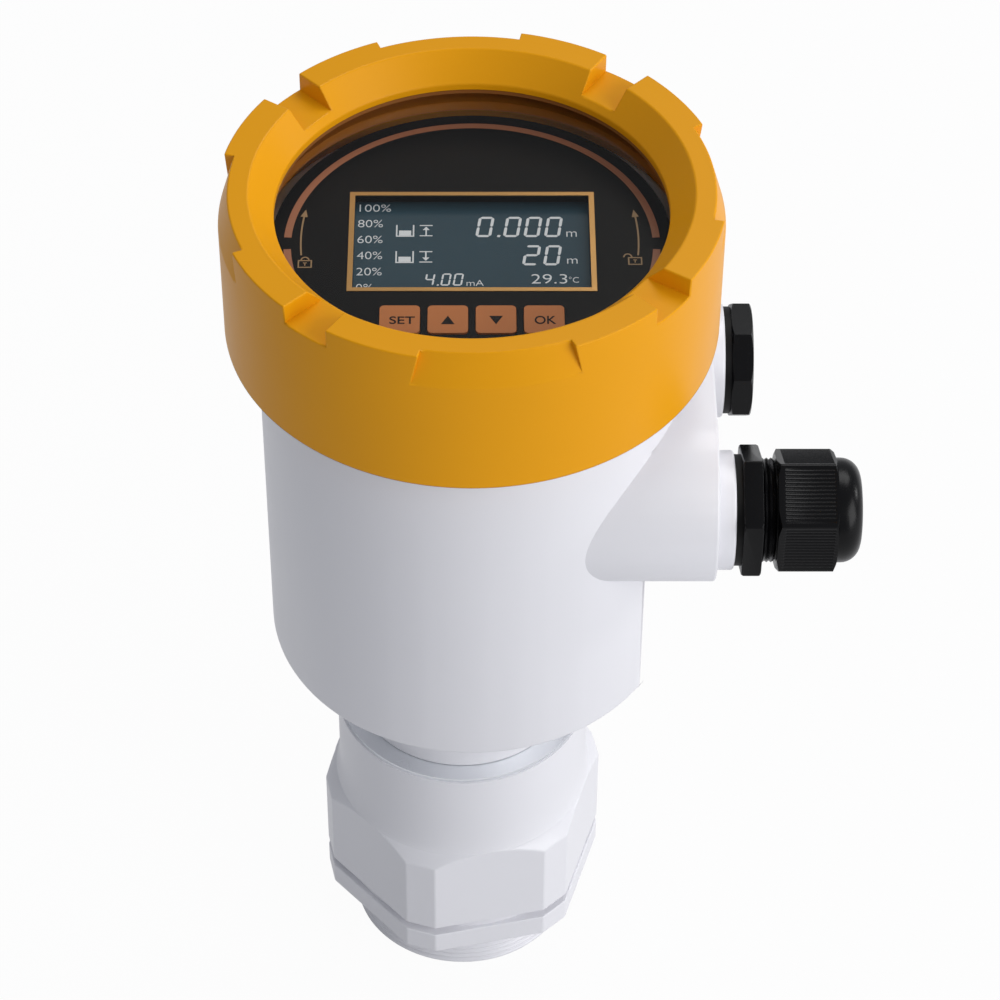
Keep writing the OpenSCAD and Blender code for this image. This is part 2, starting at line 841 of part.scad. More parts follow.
module display_plate() {
    color(black) difference() {
        on_housing() difference() {
            disc(module_r, plate_z, plate_t);
            translate([0, frame_y, 0]) plate(window_w, window_h, plate_z - over, plate_t + 2 * over);
        }
        for (i = [0 : 3]) at_key(i)
            rounded_plate(
                key_w + 2 * key_play, key_l + 2 * key_play, key_r + key_play,
                plate_z - over, plate_t + 2 * over
            );
    }
}

module lcd_frame() {
    color(gold) on_housing() translate([0, frame_y, 0]) difference() {
        plate(frame_w, frame_h, face_z, frame_t);
        plate(window_w, window_h, face_z - over, frame_t + 2 * over);
    }
}

module key(i) {
    color(copper) at_key(i) {
        rounded_plate(key_w, key_l, key_r, key_flange_z, key_top_z - key_flange_z);
        rounded_plate(
            key_w + 2 * key_flange, key_l + 2 * key_flange, key_r,
            key_flange_z, key_flange_top_z - key_flange_z
        );
        disc(plunger_r, switch_top_z + switch_gap, key_flange_z - switch_top_z - switch_gap);
    }
}

module key_set() { key(0); }
module key_up() { key(1); }
module key_down() { key(2); }
module key_ok() { key(3); }

// ---------------------------------------------------------------- screw cap and window

module cap_turning() {
    rotate_extrude() polygon([
        [skirt_r, cap_z], [cap_r - edge_chamfer / 2, cap_z], [cap_r, cap_z + edge_chamfer / 2],
        [cap_r, cap_top_z], [rim_in_r, cap_top_z],
        [opening_r, cap_top_z - cone_depth], [opening_r, lip_z], [cap_bore_r, lip_z],
        [cap_bore_r, skirt_top_z], [skirt_r, skirt_top_z]
    ]);
}

module notch() {
    intersection() {
        rotate([0, 0, -notch_deg / 2]) sector(notch_deg, cap_r);
        disc(2 * cap_r, cap_top_z - notch_depth, notch_depth + over / 2);
    }
}

// One side of a recess: everything on the left of its leaning end wall
module recess_end(side) {
    rotate([0, 0, side * recess_deg / 2]) translate([0, 0, cap_top_z]) rotate([side * recess_lean, 0, 0])
        translate([0, side > 0 ? -4 * cap_r : 0, -2 * cap_r]) cube([2 * cap_r, 4 * cap_r, 4 * cap_r]);
}

module recess() {
    run_out = over * recess_in / recess_h;
    intersection() {
        rotate_extrude() polygon([
            [cap_r - recess_in - run_out, cap_top_z + over],
            [cap_r + run_out, cap_top_z - recess_h - over],
            [cap_r + recess_in, cap_top_z - recess_h - over], [cap_r + recess_in, cap_top_z + over]
        ]);
        recess_end(1);
        recess_end(-1);
    }
}

module screw_cap() {
    // The turning's seam lies on plain rim, midway between a recess and a notch
    seam_turn = (recess_deg / 2 + 180 / grips - notch_deg / 2) / 2;
    color(yellow) on_housing() rotate([0, 0, grip_turn]) difference() {
        rotate([0, 0, seam_turn]) cap_turning();
        for (i = [0 : grips - 1]) rotate([0, 0, i * 360 / grips]) {
            recess();
            rotate([0, 0, 180 / grips]) notch();
        }
    }
}

module window_ring() {
    color("#a5641c") on_housing()
        ring(window_ring_r, window_ring_r - window_ring_w, window_ring_z, window_ring_h);
}

module sight_glass() {
    color("#c9b8a0", 0.3) on_housing() disc(glass_r, glass_z, glass_t);
}

module window_gasket() {
    color(rubber) on_housing() ring(glass_r, opening_r + seat_play, glass_top_z, gasket_t);
}

// ---------------------------------------------------------------- cable gland

module gland_body() {
    color(black) at_entry(-1) difference() {
        union() {
            disc(entry_screw_r, boss_x - entry_thread_len, collar_x - boss_x + entry_thread_len + over);
            intersection() {
                prism(gland_af, 6, collar_x, gland_collar_t);
                turned_corners(gland_af / 2 / cos(30), collar_cut, collar_cut, collar_x, gland_collar_t);
            }
            disc(gland_shoulder_d / 2, shoulder_x - over, shoulder_len + over);
            rotate_extrude() polygon([
                [0, shoulder_x], [cage_r, shoulder_x], [cage_r, cage_end_x - cage_taper],
                [cage_tip_r, cage_end_x], [0, cage_end_x]
            ]);
        }
        disc(through_r, boss_x - entry_thread_len - over, gland_end_x);
        for (i = [0 : cage_slots / 2 - 1]) rotate([0, 0, 45 + 90 * i])
            translate([-2 * cage_r, -cage_slot_w / 2, nut_x + cage_taper])
                cube([4 * cage_r, cage_slot_w, nut_hex_h]);
    }
}

module gland_seal() {
    color(rubber) at_entry(-1) ring(entry_seal_d / 2, entry_r + face_gap, boss_x, entry_seal_t);
}

module gland_insert() {
    color(rubber) at_entry(-1) ring(insert_r, cable_d / 2, insert_x, insert_end_x - insert_x);
}

module gland_nut() {
    color(black) at_entry(-1) difference() {
        union() {
            intersection() {
                prism(nut_af, 6, nut_x, nut_hex_h);
                turned_corners(nut_af / 2 / cos(30), nut_cut, nut_cut, nut_x, nut_hex_h);
            }
            rotate_extrude() {
                translate([0, dome_x - over]) square([dome_d / 2 - dome_r, dome_h + over]);
                translate([0, dome_x - over]) square([dome_d / 2, dome_h + over - dome_r]);
                translate([dome_d / 2 - dome_r, gland_end_x - dome_r]) intersection() {
                    circle(r = dome_r);
                    square(dome_r);
                }
            }
        }
        disc(nut_bore_r, nut_x - over, cage_end_x - nut_x + over + seat_play);
        disc(dome_bore_d / 2, nut_x, gland_end_x);
    }
}

// ---------------------------------------------------------------- blanking plug

module blanking_plug() {
    color(black) at_entry(1) {
        disc(entry_screw_r, boss_x - entry_thread_len, seal_x - boss_x + entry_thread_len + over);
        intersection() {
            rotate([0, 0, 180 / plug_sides]) prism(plug_af, plug_sides, seal_x, plug_h);
            turned_corners(plug_af / 2 / cos(180 / plug_sides), plug_cut, plug_cut, seal_x, plug_h);
        }
    }
}

module plug_seal() {
    color(rubber) at_entry(1) ring(entry_seal_d / 2, entry_r + face_gap, boss_x, entry_seal_t);
}

// ---------------------------------------------------------------- one line for each node

process_fitting();
antenna_lens();
antenna_horn();
radar_module();
signal_cable();
swivel_washer();
swivel_seal();
swivel_nut();
housing();
cap_seal();
main_board();
board_components();
board_screws();
terminal_block();
terminal_screws();
ribbon_cable();
display_cup();
display_board();
key_switches();
lcd_backlight();
lcd_panel();
display_plate();
lcd_frame();
key_set();
key_up();
key_down();
key_ok();
screw_cap();
window_ring();
sight_glass();
window_gasket();
gland_body();
gland_seal();
gland_insert();
gland_nut();
blanking_plug();
plug_seal();
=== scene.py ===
"""Radar level transmitter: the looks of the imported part, one section for each piece from the thread up."""
import json
import math

import bmesh
import bpy
import numpy as np
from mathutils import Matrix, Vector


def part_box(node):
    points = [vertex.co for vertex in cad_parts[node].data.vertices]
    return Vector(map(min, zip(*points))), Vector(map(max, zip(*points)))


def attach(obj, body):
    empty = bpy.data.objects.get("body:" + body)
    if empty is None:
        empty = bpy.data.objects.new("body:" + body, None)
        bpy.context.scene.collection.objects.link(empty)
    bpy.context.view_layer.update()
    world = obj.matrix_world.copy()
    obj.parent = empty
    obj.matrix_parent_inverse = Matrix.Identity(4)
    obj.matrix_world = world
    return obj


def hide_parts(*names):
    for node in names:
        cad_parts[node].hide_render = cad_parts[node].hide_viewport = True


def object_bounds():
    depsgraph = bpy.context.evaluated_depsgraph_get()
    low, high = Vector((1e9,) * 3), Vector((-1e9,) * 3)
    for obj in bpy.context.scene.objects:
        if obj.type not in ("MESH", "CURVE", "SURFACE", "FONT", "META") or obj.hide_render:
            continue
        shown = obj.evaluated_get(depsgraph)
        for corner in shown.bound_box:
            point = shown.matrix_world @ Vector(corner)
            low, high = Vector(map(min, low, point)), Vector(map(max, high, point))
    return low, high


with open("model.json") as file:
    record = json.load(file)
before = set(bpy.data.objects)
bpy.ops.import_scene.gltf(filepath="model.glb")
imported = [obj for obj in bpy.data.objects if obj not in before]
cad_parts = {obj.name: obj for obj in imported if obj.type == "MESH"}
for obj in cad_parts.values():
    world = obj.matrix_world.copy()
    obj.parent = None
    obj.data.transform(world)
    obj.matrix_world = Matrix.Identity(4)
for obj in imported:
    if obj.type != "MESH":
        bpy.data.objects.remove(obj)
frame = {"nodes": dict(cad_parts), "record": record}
cad_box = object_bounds()


# ---------------------------------------------------------------- studio
# The instrument stands on its thread on white paper. A long lens looks down on it from the front, aimed a
# little to the left of it. A large soft box lights it from the front right, a smaller one from above and
# behind, and a small one from low on the right. The room fills the left, and is plain white to the lens.

MM = 0.001
HEAD_X = (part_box("screw_cap")[0][0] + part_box("screw_cap")[1][0]) / 2
HEAD_MM = HEAD_X / MM
CAMERA_AT = (HEAD_X, -501.7 * MM, 626.4 * MM)
CAMERA_DOWN = 45.141
LENS_MM = 126.56
FILM_MM = 36.0
FILM_SHIFT = 0.02807

camera_data = bpy.data.cameras.new("camera")
camera_data.lens = LENS_MM
camera_data.sensor_width = FILM_MM
camera_data.shift_x = FILM_SHIFT
camera_data.clip_start = 0.01
camera_data.clip_end = 20.0
camera = bpy.data.objects.new("camera", camera_data)
camera.location = CAMERA_AT
camera.rotation_euler = (math.radians(90.0 - CAMERA_DOWN), 0.0, 0.0)
bpy.context.scene.collection.objects.link(camera)
bpy.context.scene.camera = camera
bpy.context.scene.view_settings.view_transform = "Standard"


def math_node(tree, operation, *values):
    """A Math node's result. Each value is a number or another node's output."""
    node = tree.nodes.new("ShaderNodeMath")
    node.operation = operation
    for socket, value in zip(node.inputs, values):
        if isinstance(value, float):
            socket.default_value = value
        else:
            tree.links.new(value, socket)
    return node.outputs[0]


def paper_material(name, colour, share, mirrored):
    """White paper. The lens and anything seen through glass get a share of it as a plain white glow,
    mirrors get another share, and the rest of it is a matt surface that takes the shadow."""
    material = bpy.data.materials.new(name)
    material.use_nodes = True
    tree = material.node_tree
    tree.nodes.clear()
    out = tree.nodes.new("ShaderNodeOutputMaterial")
    mix = tree.nodes.new("ShaderNodeMixShader")
    matt = tree.nodes.new("ShaderNodeBsdfDiffuse")
    matt.inputs["Color"].default_value = colour
    glow = tree.nodes.new("ShaderNodeEmission")
    glow.inputs["Strength"].default_value = 1.0
    path = tree.nodes.new("ShaderNodeLightPath")
    seen = math_node(tree, "MAXIMUM", path.outputs["Is Camera Ray"], path.outputs["Is Transmission Ray"])
    glowing = math_node(tree, "MAXIMUM", math_node(tree, "MULTIPLY", seen, share),
                        math_node(tree, "MULTIPLY", path.outputs["Is Glossy Ray"], mirrored))
    tree.links.new(glowing, mix.inputs["Fac"])
    tree.links.new(matt.outputs["BSDF"], mix.inputs[1])
    tree.links.new(glow.outputs["Emission"], mix.inputs[2])
    tree.links.new(mix.outputs["Shader"], out.inputs["Surface"])
    return material


PAPER_HALF, PAPER_GAP = 3.0, 0.02
PAPER_WHITE, PAPER_GLOW, PAPER_IN_MIRRORS = (0.62, 0.62, 0.64, 1.0), 0.96, 0.5
ROOM_WHITE, ROOM_LIGHT = (0.92, 0.95, 1.0, 1.0), 0.42
paper_mesh = bpy.data.meshes.new("paper")
paper_mesh.from_pydata(
    [(-PAPER_HALF, -PAPER_HALF, 0), (PAPER_HALF, -PAPER_HALF, 0),
     (PAPER_HALF, PAPER_HALF, 0), (-PAPER_HALF, PAPER_HALF, 0)],
    [], [(0, 1, 2, 3)])
paper_mesh.materials.append(paper_material("paper", PAPER_WHITE, PAPER_GLOW, PAPER_IN_MIRRORS))
paper = bpy.data.objects.new("paper", paper_mesh)
paper.location = (0.0, 0.0, cad_box[0][2] - PAPER_GAP * MM)
bpy.context.scene.collection.objects.link(paper)

world = bpy.data.worlds.new("room")
world.use_nodes = True
room = world.node_tree
room.nodes["Background"].inputs["Color"].default_value = ROOM_WHITE
room.nodes["Background"].inputs["Strength"].default_value = ROOM_LIGHT
backdrop = room.nodes.new("ShaderNodeBackground")
backdrop.inputs["Color"].default_value = (1.0, 1.0, 1.0, 1.0)
sight = room.nodes.new("ShaderNodeLightPath")
either = room.nodes.new("ShaderNodeMixShader")
facing = math_node(room, "MAXIMUM", sight.outputs["Is Camera Ray"], sight.outputs["Is Transmission Ray"])
room.links.new(facing, either.inputs["Fac"])
room.links.new(room.nodes["Background"].outputs[0], either.inputs[1])
room.links.new(backdrop.outputs[0], either.inputs[2])
room.links.new(either.outputs[0], room.nodes["World Output"].inputs["Surface"])
bpy.context.scene.world = world


def soft_box(name, size, power, at, aim):
    """A square area lamp at one point, turned so that it faces another."""
    data = bpy.data.lights.new(name, "AREA")
    data.size = size
    data.energy = power
    thing = bpy.data.objects.new(name, data)
    thing.location = at
    away = np.array(at) - np.array(aim)
    turn = math.atan2(away[0], -away[1])
    tilt = math.atan2(math.hypot(away[0], away[1]), away[2])
    thing.rotation_euler = (tilt, 0.0, turn)
    bpy.context.scene.collection.objects.link(thing)


LIT_POINT = (HEAD_X, 0.0, 0.12)
soft_box("right_soft_box", 1.0, 12.6, (1.06, -0.78, 0.64), LIT_POINT)
soft_box("back_soft_box", 0.7, 6.2, (0.4, 0.7, 1.3), LIT_POINT)
soft_box("side_soft_box", 0.25, 1.7, (1.15, 0.25, 0.5), LIT_POINT)


# ---------------------------------------------------------------- process fitting
# One bar of white plastic, turned and milled: the M48 x 1.5 thread, a thin hexagonal collar, a groove, the
# spanner's hexagon with its corners cut by narrower flats, a flared neck, and the stem the housing turns on.

nodes = frame["nodes"]
record = frame["record"]
body_of = {node: body for body, group in record["behaviour"]["bodies"].items() for node in group}
WELD, SLIVER = 0.002, 0.0005


def skin(name, *grids):
    """One mesh from grids of points, each rows x columns x 3 in millimetres. Every four neighbours
    make a quad; a last row or column that repeats the first is welded to it, and so are points that
    meet at a pole. The faces are then turned outwards."""
    points, quads, count = [], [], 0
    for grid in grids:
        rows, columns = grid.shape[:2]
        number = count + np.arange(rows * columns).reshape(rows, columns)
        corners = [number[:-1, :-1], number[:-1, 1:], number[1:, 1:], number[1:, :-1]]
        quads.append(np.stack(corners, axis=-1).reshape(-1, 4))
        points.append(grid.reshape(-1, 3))
        count += rows * columns
    mesh = bpy.data.meshes.new(name)
    mesh.from_pydata((np.concatenate(points) * MM).tolist(), [], np.concatenate(quads).tolist())
    weld = bmesh.new()
    weld.from_mesh(mesh)
    bmesh.ops.remove_doubles(weld, verts=weld.verts, dist=WELD * MM)
    bmesh.ops.dissolve_degenerate(weld, dist=SLIVER * MM, edges=weld.edges)
    bmesh.ops.recalc_face_normals(weld, faces=weld.faces)
    weld.to_mesh(mesh)
    weld.free()
    return mesh


def edges_of(mesh):
    """For each edge: the cosine between its two faces, whether it stands out, and its middle point.
    An edge stands out where the second face falls away from the first face's plane, so its normal
    points against the direction that runs from the edge into the first face."""
    loops, faces, edges = len(mesh.loops), len(mesh.polygons), len(mesh.edges)
    point = np.empty(3 * len(mesh.vertices))
    mesh.vertices.foreach_get("co", point)
    point = point.reshape(-1, 3)
    corner, edge, start, total = (np.empty(n, dtype=np.int32) for n in (loops, loops, faces, faces))
    mesh.loops.foreach_get("vertex_index", corner)
    mesh.loops.foreach_get("edge_index", edge)
    mesh.polygons.foreach_get("loop_start", start)
    mesh.polygons.foreach_get("loop_total", total)
    normal = np.empty(3 * faces)
    mesh.polygons.foreach_get("normal", normal)
    normal = normal.reshape(-1, 3)
    following = np.arange(loops) + 1
    following[start + total - 1] = start
    face = np.repeat(np.arange(faces), total)
    inward = np.cross(normal[face], point[corner[following]] - point[corner])
    order = np.argsort(edge, kind="stable")
    used = np.bincount(edge, minlength=edges)
    first = np.cumsum(used) - used
    one, other = order[first], order[np.minimum(first + 1, loops - 1)]
    cosine = (normal[face[one]] * normal[face[other]]).sum(axis=1)
    stands_out = (normal[face[other]] * inward[one]).sum(axis=1) < 0
    middle = (point[corner[one]] + point[corner[following[one]]]) / 2
    return np.where(used == 2, cosine, 1.0), stands_out, middle


def finish(name, mesh, stands_for, roll=0.3, bend=26.0, above=-1.0, less=()):
    """Puts a mesh in the place of a CAD node. Outer edges that bend by more than bend degrees are
    rolled over by roll millimetres, from the height above up, and the other sharp edges there stay
    crisp. Less lists bands of height, how far along x each reaches, and its share of the roll."""
    cosine, stands_out, middle = edges_of(mesh)
    sharp = (cosine < math.cos(math.radians(bend))) & (middle[:, 2] > above * MM)
    rolled = (sharp & stands_out) * (1.0 if roll > 0 else 0.0)
    for low, high, reach, share in less:
        band = (middle[:, 2] > low * MM) & (middle[:, 2] < high * MM) & (middle[:, 0] < reach * MM)
        rolled = np.where(band, rolled * share, rolled)
    mesh.polygons.foreach_set("use_smooth", np.ones(len(mesh.polygons), dtype=bool))
    for label, kind, value in (("bevel_weight_edge", "FLOAT", rolled),
                               ("sharp_edge", "BOOLEAN", sharp & (rolled == 0))):
        layer = mesh.attributes.get(label) or mesh.attributes.new(label, kind, "EDGE")
        layer.data.foreach_set("value", value)
    piece = bpy.data.objects.new(name, mesh)
    bpy.context.scene.collection.objects.link(piece)
    if roll > 0:
        edge = piece.modifiers.new("rolled_edges", "BEVEL")
        edge.limit_method = "WEIGHT"
        edge.width = roll * MM
        edge.segments = 3
        edge.use_clamp_overlap = False
        edge.harden_normals = True
    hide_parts(stands_for)
    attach(piece, body_of[stands_for])
    return piece


def moulded(name, colour, rough, grain=0.22, depth=0.010, shade=0.03, gloss=0.05, shine=0.5):
    """Moulded or turned plastic. Broad clouds, a few centimetres wide, vary the colour by shade and
    the roughness by gloss, and a grain of the given pitch and depth in millimetres roughens it.
    Shine is how strongly the skin mirrors, half being a clear resin's."""
    cloud_pitch = 18
    material = bpy.data.materials.new(name)
    material.use_nodes = True
    tree = material.node_tree
    shader = tree.nodes["Principled BSDF"]
    shader.inputs["IOR"].default_value = 1.5
    shader.inputs["Specular IOR Level"].default_value = shine
    place = tree.nodes.new("ShaderNodeTexCoord")
    cloud = tree.nodes.new("ShaderNodeTexNoise")
    cloud.inputs["Scale"].default_value = 1.0 / (cloud_pitch * MM)
    cloud.inputs["Detail"].default_value = 3.0
    tree.links.new(place.outputs["Object"], cloud.inputs["Vector"])
    tint = tree.nodes.new("ShaderNodeMix")
    tint.data_type = "RGBA"
    tint.inputs["A"].default_value = (*[c * (1 - shade) for c in colour], 1.0)
    tint.inputs["B"].default_value = (*[min(1.0, c * (1 + shade)) for c in colour], 1.0)
    tree.links.new(cloud.outputs["Fac"], tint.inputs["Factor"])
    tree.links.new(tint.outputs["Result"], shader.inputs["Base Color"])
    polish = tree.nodes.new("ShaderNodeMapRange")
    polish.inputs["To Min"].default_value = rough - gloss
    polish.inputs["To Max"].default_value = rough + gloss
    tree.links.new(cloud.outputs["Fac"], polish.inputs["Value"])
    tree.links.new(polish.outputs["Result"], shader.inputs["Roughness"])
    fine = tree.nodes.new("ShaderNodeTexNoise")
    fine.name = "grain"
    fine.inputs["Scale"].default_value = 1.0 / (grain * MM)
    fine.inputs["Detail"].default_value = 2.0
    tree.links.new(place.outputs["Object"], fine.inputs["Vector"])
    bump = tree.nodes.new("ShaderNodeBump")
    bump.inputs["Distance"].default_value = depth * MM
    tree.links.new(fine.outputs["Fac"], bump.inputs["Height"])
    tree.links.new(bump.outputs["Normal"], shader.inputs["Normal"])
    return material


def round_z(radius, height, bearing, centre=0.0):
    """Points at a distance from an upright axis, at a height and a bearing in degrees."""
    radius, height, bearing = np.broadcast_arrays(radius, height, bearing)
    angle = np.radians(bearing)
    return np.stack([centre + radius * np.cos(angle), radius * np.sin(angle), height], axis=-1)


def whole_turn(stretch, times, start=0.0):
    """A stretch of bearings repeated round the axis and closed: every bearing, and for each of them
    which one of the stretch it is."""
    bearing = (start + 360 / times * np.arange(times)[:, None] + stretch).ravel()
    return np.append(bearing, bearing[0] + 360), np.append(np.tile(np.arange(len(stretch)), times), 0)


def columns(rows, bearing):
    """The rows of a section, each a tuple of numbers or of one number per bearing, as one grid for
    each of the tuple's places."""
    return [np.array([np.broadcast_to(value, bearing.shape) for value in place]) for place in zip(*rows)]


THREAD_R, THREAD_PITCH, THREAD_DEPTH, THREAD_TOP = 24.0, 1.5, 0.8, 11.7
WIDE_FLAT, NARROW_FLAT, HEX_TURN = 27.5, 29.85, 12.3
COLLAR_TOP, GROOVE_TOP, HEX_TOP, GROOVE_R = 17.4, 19.7, 39.9, 26.6
NECK_R, NECK_TOP, FLARE_W, FLARE_H, CHAMFER_RISE = 26.65, 65.1, 1.1, 7.5, 1.15
STEM_R, STEM_TOP, STEM_BORE_R, ANTENNA_BORE_R, ANTENNA_ROOF = 13.0, 102.1, 9.0, 20.5, 35.1
SEAL_LOW, SEAL_HIGH, SEAL_R = 78.75, 80.96, 11.3


def fitting_surface():
    """The fitting's section carried round its axis. On the hexagons the radius is the nearer of two
    facets, apothem / cos(angle from the facet's middle). The thread's rows climb one pitch a turn,
    and their radius steps crest, flank, root, flank, held below a 45 degree run-in at each end.
    The chamfer is a cone that meets each facet where its radius equals the facet's, and above it
    the flare is a quarter of an ellipse."""
    corner = math.sqrt(WIDE_FLAT**2 + NARROW_FLAT**2 - 2 * WIDE_FLAT * NARROW_FLAT * math.cos(math.pi / 6)) * 2
    wide_half = math.degrees(math.acos(WIDE_FLAT / corner))
    wide = np.linspace(-wide_half, wide_half, 25)
    narrow = np.linspace(wide_half, 60 - wide_half, 7)[1:-1]
    local = np.concatenate([wide, narrow])
    bearing, which = whole_turn(local, 6, HEX_TURN + 30)
    local = local[which]
    facet = np.minimum(WIDE_FLAT / np.cos(np.radians(local)), NARROW_FLAT / np.cos(np.radians(local - 30)))
    steps = 6
    profile = np.array([1.0, 1.0, 0.5, 0.0, 0.0, 0.5])
    row = np.arange(-steps, math.ceil(THREAD_TOP / THREAD_PITCH) * steps + 1)[:, None]
    thread_z = np.clip(THREAD_PITCH * (row / steps + (bearing - bearing[0]) / 360), 0, THREAD_TOP)
    root = THREAD_R - THREAD_DEPTH
    thread_r = root + np.minimum(THREAD_DEPTH * profile[row % steps],
                                 np.minimum(thread_z, THREAD_TOP - thread_z))
    flare_r = NECK_R + FLARE_W
    flare_z = HEX_TOP + (corner - flare_r) * CHAMFER_RISE
    entry = np.arcsin(np.clip((flare_r - facet) / FLARE_W, 0, 1))
    sweep = entry + (math.pi / 2 - entry) * np.linspace(0, 1, 11)[:, None]
    flares_r = flare_r - FLARE_W * np.sin(sweep)
    flares_z = flare_z + FLARE_H * (1 - np.cos(sweep))
    meets_z = np.where(entry > 0, flares_z[0], HEX_TOP + (corner - facet) * CHAMFER_RISE)
    rows = [
        (ANTENNA_BORE_R, 0), *zip(thread_r, thread_z), (facet, THREAD_TOP), (facet, COLLAR_TOP),
        (GROOVE_R, COLLAR_TOP), (GROOVE_R, GROOVE_TOP), (facet, GROOVE_TOP), (facet, meets_z),
        *zip(flares_r, flares_z), (NECK_R, NECK_TOP), (STEM_R, NECK_TOP), (STEM_R, SEAL_LOW),
        (SEAL_R, SEAL_LOW), (SEAL_R, SEAL_HIGH), (STEM_R, SEAL_HIGH), (STEM_R, STEM_TOP),
        (STEM_BORE_R, STEM_TOP), (STEM_BORE_R, ANTENNA_ROOF), (ANTENNA_BORE_R, ANTENNA_ROOF),
        (ANTENNA_BORE_R, 0)]
    return round_z(*columns(rows, bearing), bearing)


white = moulded("white_plastic", (0.79, 0.785, 0.82), 0.33, grain=0.3, depth=0.008, shade=0.012, shine=0.5)
# The flare's foot isn't rolled, and the neck's top edge only a little.
fitting = finish("fitting_turning", skin("fitting_turning", fitting_surface()), "process_fitting",
                 roll=0.35, above=THREAD_TOP - 0.01, less=[(42.0, 44.0, 99.0, 0.0), (64.0, 66.0, 99.0, 0.25)])
fitting.data.materials.append(white)


# ---------------------------------------------------------------- antenna and radar module
# Behind the thread's end face: a lens turned from natural fluoropolymer, the spun metal horn that it closes,
# and the radar board under its screening can, with a thin cable up through the stem.

def brushed(name, colour, rough, pitch=0.15, depth=0.003, stretch=(0.04, 0.04, 1.0)):
    """Bare or plated metal, with fine marks left by turning: a noise that is stretched along the cut."""
    material = moulded(name, colour, rough, grain=pitch, depth=depth, shade=0.05)
    tree = material.node_tree
    tree.nodes["Principled BSDF"].inputs["Metallic"].default_value = 1.0
    along = tree.nodes.new("ShaderNodeMapping")
    along.inputs["Scale"].default_value = stretch
    tree.links.new(tree.nodes["Texture Coordinate"].outputs["Object"], along.inputs["Vector"])
    tree.links.new(along.outputs["Vector"], tree.nodes["grain"].inputs["Vector"])
    return material


def dress(material, *names):
    """Gives CAD nodes whose shape is right their finish."""
    for name in names:
        for slot in nodes[name].material_slots:
            slot.material = material


steel = brushed("steel", (0.62, 0.63, 0.65), 0.22)
lens_plastic = moulded("lens_plastic", (0.83, 0.83, 0.80), 0.42, grain=0.5, depth=0.012)
lens_plastic.node_tree.nodes["Principled BSDF"].inputs["Subsurface Weight"].default_value = 0.3
lens_plastic.node_tree.nodes["Principled BSDF"].inputs["Subsurface Scale"].default_value = 1.5 * MM
board = moulded("board", (0.015, 0.10, 0.035), 0.32, grain=1.2, depth=0.012, shade=0.25)
rubber = moulded("rubber", (0.006, 0.006, 0.006), 0.55, grain=0.12, depth=0.012, shade=0.15, shine=0.2)
dress(lens_plastic, "antenna_lens")
dress(steel, "antenna_horn")
dress(board, "radar_module")
dress(rubber, "signal_cable")


# ---------------------------------------------------------------- swivel
# The housing turns on a polished ring on the neck's top face. A rubber ring seals it against the stem, and
# a thin hexagonal nut above the housing's floor keeps it on.

polished_ring = brushed("polished_ring", (0.86, 0.88, 0.90), 0.28)
dress(polished_ring, "swivel_washer")
dress(steel, "swivel_nut")
dress(rubber, "swivel_seal")


# ---------------------------------------------------------------- housing
# One moulding in white glass-filled plastic: a round body with one flat side, a junction box with a boss at
# each cable entry, the spigot below and the threaded mouth above. All outer edges come out of the mould round.

def merged_copy(node, name):
    """A welded copy of a CAD node's mesh, with its flat areas as single faces."""
    mesh = nodes[node].data.copy()
    mesh.name = name
    weld = bmesh.new()
    weld.from_mesh(mesh)
    bmesh.ops.remove_doubles(weld, verts=weld.verts, dist=WELD * MM)
    bmesh.ops.dissolve_limit(weld, angle_limit=math.radians(0.4), verts=weld.verts, edges=weld.edges)
    weld.to_mesh(mesh)
    weld.free()
    mesh.materials.clear()
    return mesh


# The floor's edge is rolled less, and the edges where the junction box runs into the body not at all.
housing = finish("housing_moulding", merged_copy("housing", "housing_moulding"), "housing", roll=0.5,
                 less=[(0.0, 92.0, 99.0, 0.3), (115.0, 170.0, 47.0, 0.0)])
housing.data.materials.append(white)


# ---------------------------------------------------------------- electronics
# The main board on its four posts, with the supply, processor and modem, the cage-clamp terminal block for
# the cable's cores, and a ribbon cable up to the display module.

component = moulded("component_black", (0.02, 0.02, 0.022), 0.42, grain=0.3, shade=0.1)
terminal_green = moulded("terminal_green", (0.03, 0.17, 0.05), 0.38)
ribbon_grey = moulded("ribbon_grey", (0.36, 0.37, 0.40), 0.5, grain=1.27, depth=0.05)
dress(rubber, "cap_seal")
dress(board, "main_board", "display_board")
dress(component, "board_components", "key_switches")
dress(terminal_green, "terminal_block")
dress(steel, "board_screws", "terminal_screws")
dress(ribbon_grey, "ribbon_cable", "lcd_backlight")


# ---------------------------------------------------------------- display module
# A black cup that holds the display's board, closed by a black front plate with a printed ring and marks for
# turning the cap on and off. The window for the display glass has a thin gold trim.

FACE_Z = 190.9
INK_T = 0.04
display_black = moulded("display_black", (0.005, 0.0052, 0.0058), 0.34, grain=1.4, depth=0.0015, shade=0.1,
                        shine=0.1)
trim_gold = brushed("trim_gold", (0.64, 0.37, 0.14), 0.34, stretch=(1.0, 0.05, 1.0))
dress(display_black, "display_cup", "display_plate")
dress(trim_gold, "lcd_frame")


